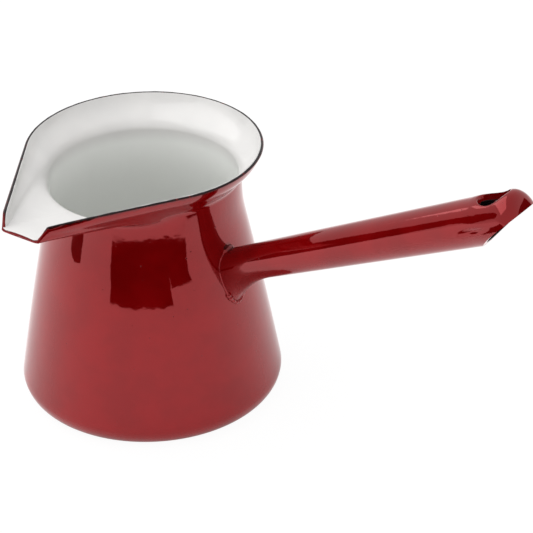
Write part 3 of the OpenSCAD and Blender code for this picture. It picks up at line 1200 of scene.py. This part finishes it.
    def weld(self, material: bpy.types.Material) -> bpy.types.Object:
        """The weld bead with its lumps, grown along the join by Geometry Nodes."""
        path = self.foot_line()
        n = len(path)
        host = mesh_object("weld_path", path, [], [(j, (j + 1) % n) for j in range(n)])
        low, high = path[:, 2].min() * MM, path[:, 2].max() * MM
        recipe = Recipe("weld_bead_and_lumps", {"Thin": 0.0004, "Thick": 0.001, "Low": float(low),
                                                "High": float(high), "Lumps": 40, "Lump": 0.0008, "Seed": 7,
                                                "Material": None})
        g, value = recipe.graph, recipe.value
        curve = g.wire(g.node("GeometryNodeMeshToCurve", Mesh=value("Geometry")))
        position = g.wire(g.node("GeometryNodeInputPosition"))
        z = g.wire(g.node("ShaderNodeSeparateXYZ", i0=position), 2)
        height = (z - value("Low")) / (value("High") - value("Low"))
        noise = g.wire(g.node("ShaderNodeTexNoise", {"noise_dimensions": "4D"}, Vector=position,
                              W=value("Seed"), Scale=420.0, Detail=2.0))
        down = 1 - height.ramp(0.0, 0.55)
        size = (value("Thin") + (value("Thick") - value("Thin")) * down) * (0.3 + noise * 1.4)
        size = size + height.ramp(0.955, 0.99) * (1.1 * MM)
        ring = g.wire(g.node("GeometryNodeCurvePrimitiveCircle", {"mode": "RADIUS"}, i0=12, Radius=1.0))
        swept = g.node("GeometryNodeCurveToMesh", Curve=curve, Profile_Curve=ring, Scale=size)
        points = g.wire(g.node("GeometryNodeResampleCurve", Curve=curve, Count=value("Lumps")))
        pick = g.wire(g.node("FunctionNodeRandomValue", {"data_type": "FLOAT"}, i2=0.3, i3=1.0,
                             Seed=value("Seed")), 1)
        ball = g.wire(g.node("GeometryNodeMeshIcoSphere", Radius=value("Lump"), Subdivisions=3))
        lumps = g.wire(g.node("GeometryNodeInstanceOnPoints", Points=points, Instance=ball,
                              Selection=height < 0.3, Scale=pick))
        joined = g.node("GeometryNodeJoinGeometry")
        g.tree.links.new(swept.outputs[0], joined.inputs[0])
        g.tree.links.new(lumps.socket, joined.inputs[0])
        recipe.close(g.wire(joined))
        piece = recipe.grow("weld_bead_coat", host, {
            "Thin": 0.36 * MM, "Thick": 0.85 * MM, "Lump": 1.25 * MM, "Lumps": 72, "Low": float(low),
            "High": float(high), "Material": material})
        face_out(piece)
        return piece


# ---------------------------------------------------------------------------------------------- studio
@dataclass
class Studio:
    """Plain pale floor, soft light, dark flags for reflections, and the camera."""

    azimuth: float = math.radians(36.3)
    elevation: float = math.radians(30.67)
    roll: float = math.radians(-1.18)
    distance: float = 0.9215
    aim_right: float = 0.0441
    aim_up: float = 0.0427
    lens: float = 159.53
    sensor: float = 36.0
    floor_half: float = 6.0
    floor_drop: float = 0.02
    floor_grey: float = 0.85
    floor_wash: float = 0.93
    floor_glow: float = 0.3
    sky: float = 0.9
    top_light: float = 9.0

    def camera(self) -> None:
        """Places the camera by its angles round the origin of the pot."""
        az, el = self.azimuth, self.elevation
        forward = Vector((-math.sin(az) * math.cos(el), math.cos(az) * math.cos(el), -math.sin(el)))
        right = Vector((math.cos(az), math.sin(az), 0))
        up = right.cross(forward)
        rolled_right = right * math.cos(self.roll) + up * math.sin(self.roll)
        rolled_up = up * math.cos(self.roll) - right * math.sin(self.roll)
        data = bpy.data.cameras.new("camera")
        data.lens, data.sensor_width = self.lens, self.sensor
        data.clip_start, data.clip_end = 0.01, 50
        data.dof.use_dof = False
        made = bpy.data.objects.new("camera", data)
        bpy.context.scene.collection.objects.link(made)
        axes = Matrix((rolled_right, rolled_up, -forward)).transposed()
        made.matrix_world = axes.to_4x4()
        made.location = rolled_right * self.aim_right + rolled_up * self.aim_up - forward * self.distance
        bpy.context.scene.camera = made

    @staticmethod
    def matt(graph: Graph, grey: float, glow: float = 0.0) -> Wire:
        """A matt surface that may glow.

        Args:
            graph: The material's graph.
            grey: Its grey.
            glow: How strongly it glows.

        Returns:
            The surface.
        """
        colour = (grey, grey, grey, 1)
        return graph.wire(graph.node("ShaderNodeBsdfPrincipled", Base_Color=colour, Roughness=0.9,
                                     Emission_Color=(1, 1, 1, 1), Emission_Strength=glow))

    def black_material(self, name: str) -> bpy.types.Material:
        """Matt black.

        Args:
            name: The material's name.

        Returns:
            The material.
        """
        material, graph = empty_material(name)
        graph.node("ShaderNodeOutputMaterial", Surface=self.matt(graph, 0.0))
        return material

    def floor_material(self) -> bpy.types.Material:
        """Pale floor whose shadow is almost washed out for the camera.

        Returns:
            The material.
        """
        material, graph = empty_material("pale_floor")
        lit = self.matt(graph, self.floor_grey, self.floor_glow)
        clear = graph.wire(graph.node("ShaderNodeEmission", Color=(1, 1, 1, 1), Strength=1.0))
        seen = graph.wire(graph.node("ShaderNodeLightPath"), "Is Camera Ray")
        mixed = graph.node("ShaderNodeMixShader", i0=seen * self.floor_wash, i1=lit, i2=clear)
        graph.node("ShaderNodeOutputMaterial", Surface=graph.wire(mixed))
        return material

    def floor(self) -> None:
        """The floor, just under the base."""
        h = self.floor_half / MM
        corners = np.array([[-h, -h, 0], [h, -h, 0], [h, h, 0], [-h, h, 0]]) - [0, 0, self.floor_drop]
        floor = mesh_object("studio_floor", corners, [(0, 1, 2, 3)])
        floor.data.materials.append(self.floor_material())

    def one_way_black(self) -> bpy.types.Material:
        """Black for rays that travel towards +X, clear for the others."""
        material = bpy.data.materials.get("flag_one_way")
        if material is None:
            material, graph = empty_material("flag_one_way")
            back = graph.wire(graph.node("ShaderNodeNewGeometry"), "Incoming")
            away = graph.wire(graph.node("ShaderNodeSeparateXYZ", i0=back)) < 0.0
            clear = graph.wire(graph.node("ShaderNodeBsdfTransparent"))
            black = graph.wire(graph.node("ShaderNodeBsdfDiffuse", Color=(0, 0, 0, 1)))
            mixed = graph.node("ShaderNodeMixShader", i0=away, i1=clear, i2=black)
            graph.node("ShaderNodeOutputMaterial", Surface=graph.wire(mixed))
        return material

    def flag(self, name: str, points: Sequence, one_way: bool = False) -> None:
        """A dark card that only reflections see.

        Args:
            name: Its name.
            points: Its corners in metres.
            one_way: Whether only rays that travel towards +X see it.
        """
        card = mesh_object(name, np.array(points) / MM, [tuple(range(len(points)))])
        card.data.materials.append(self.one_way_black() if one_way else self.black_material(name + "_black"))
        card.visible_camera = card.visible_diffuse = card.visible_shadow = card.visible_transmission = False

    @staticmethod
    def sector(start: float, end: float, near: float, far: float, z_near: float, z_far: float) -> list:
        """Corners of a ring sector between two azimuths in degrees.

        Args:
            start: First azimuth.
            end: Last azimuth.
            near: Near radius.
            far: Far radius.
            z_near: Height at the near radius.
            z_far: Height at the far radius.

        Returns:
            The corners.
        """
        turns = [math.radians(start + (end - start) * i / 12) for i in range(13)]
        inner = [(near * math.sin(a), -near * math.cos(a), z_near) for a in turns]
        outer = [(far * math.sin(a), -far * math.cos(a), z_far) for a in reversed(turns)]
        return inner + outer

    @staticmethod
    def tapered(start: tuple, end: tuple, start_w: float, end_w: float, z: float) -> list:
        """Corners of a level card that widens along its middle line.

        Args:
            start: Its narrow end.
            end: Its wide end.
            start_w: Its width at the start.
            end_w: Its width at the end.
            z: Its height.

        Returns:
            The corners.
        """
        a, b = Vector(start), Vector(end)
        side = Vector((a.y - b.y, b.x - a.x)).normalized()
        return [(*place, z) for place in (a + side * start_w / 2, b + side * end_w / 2,
                                          b - side * end_w / 2, a - side * start_w / 2)]

    def flags(self) -> None:
        """The dark places of the studio: stepped cards on the right and in front, small ones for the
        tongue and the spout's side, and far ones on the left and on the right."""
        self.flag("flag_low", self.sector(2, 59, 0.115, 0.6, 0.044, 0.044), True)
        self.flag("flag_mid", self.sector(58, 76, 0.095, 0.6, 0.054, 0.054), True)
        self.flag("flag_high", self.sector(58, 90, 0.075, 0.6, 0.066, 0.066), True)
        self.flag("flag_tongue", [(0.112, -0.058, 0.06), (0.15, -0.058, 0.06), (0.15, -0.058, 0.113),
                                  (0.132, -0.058, 0.116), (0.12, -0.058, 0.1)])
        self.flag("flag_left_wall", self.sector(-82, -43, 1.5, 1.51, 0.0, 0.52))
        self.flag("flag_left_floor", self.sector(-82, -43, 0.75, 1.5, 0.001, 0.0))
        self.flag("flag_stand", self.tapered((-0.011, -0.05), (-0.025, -0.061), 0.004, 0.014, 0.066))
        self.flag("flag_right_wall", self.sector(98, 150, 1.2, 1.21, 0.05, 0.4))

    def lights(self) -> None:
        """A white surround and one large soft light above."""
        world = bpy.data.worlds.new("surround")
        bpy.context.scene.world = world
        world.use_nodes = True
        graph = Graph(world.node_tree)
        seen = graph.wire(graph.node("ShaderNodeLightPath"), "Is Camera Ray")
        strength = seen * (1.05 - self.sky) + self.sky
        back = graph.node("ShaderNodeBackground", Color=(1, 1, 1, 1), Strength=strength)
        graph.node("ShaderNodeOutputWorld", Surface=graph.wire(back))
        light = bpy.data.lights.new("overhead", "AREA")
        light.shape, light.size, light.size_y, light.energy = "RECTANGLE", 1.6, 1.2, self.top_light
        lamp = bpy.data.objects.new("overhead", light)
        lamp.location = (-0.55, -0.35, 1.05)
        lamp.rotation_euler = Vector(lamp.location).to_track_quat("Z", "Y").to_euler()
        bpy.context.scene.collection.objects.link(lamp)

    def build(self) -> None:
        """Sets up the whole studio."""
        self.floor()
        self.flags()
        self.lights()
        self.camera()
        bpy.context.scene.view_settings.view_transform = "Standard"
        bpy.context.scene.view_settings.look = "None"


def main() -> None:
    """Builds the pot, the handle and the studio."""
    logging.basicConfig(level=logging.INFO, format="%(name)s %(message)s")
    pot = Pot(PotSizes.from_frame())
    handle = Handle(HandleSizes.from_frame(), pot)
    red = RedEnamel(nub=tuple(handle.foot_line()[0] * MM)).material()
    white, steel, dark = WhiteEnamel().material(), DrawnSteel().material(), GroundCoat().material()
    pot.build(red, white, steel, GroundCoat(has_lip=True).material())
    handle.build(red, dark, steel)
    Studio().build()


if __name__ == "__main__":
    main()
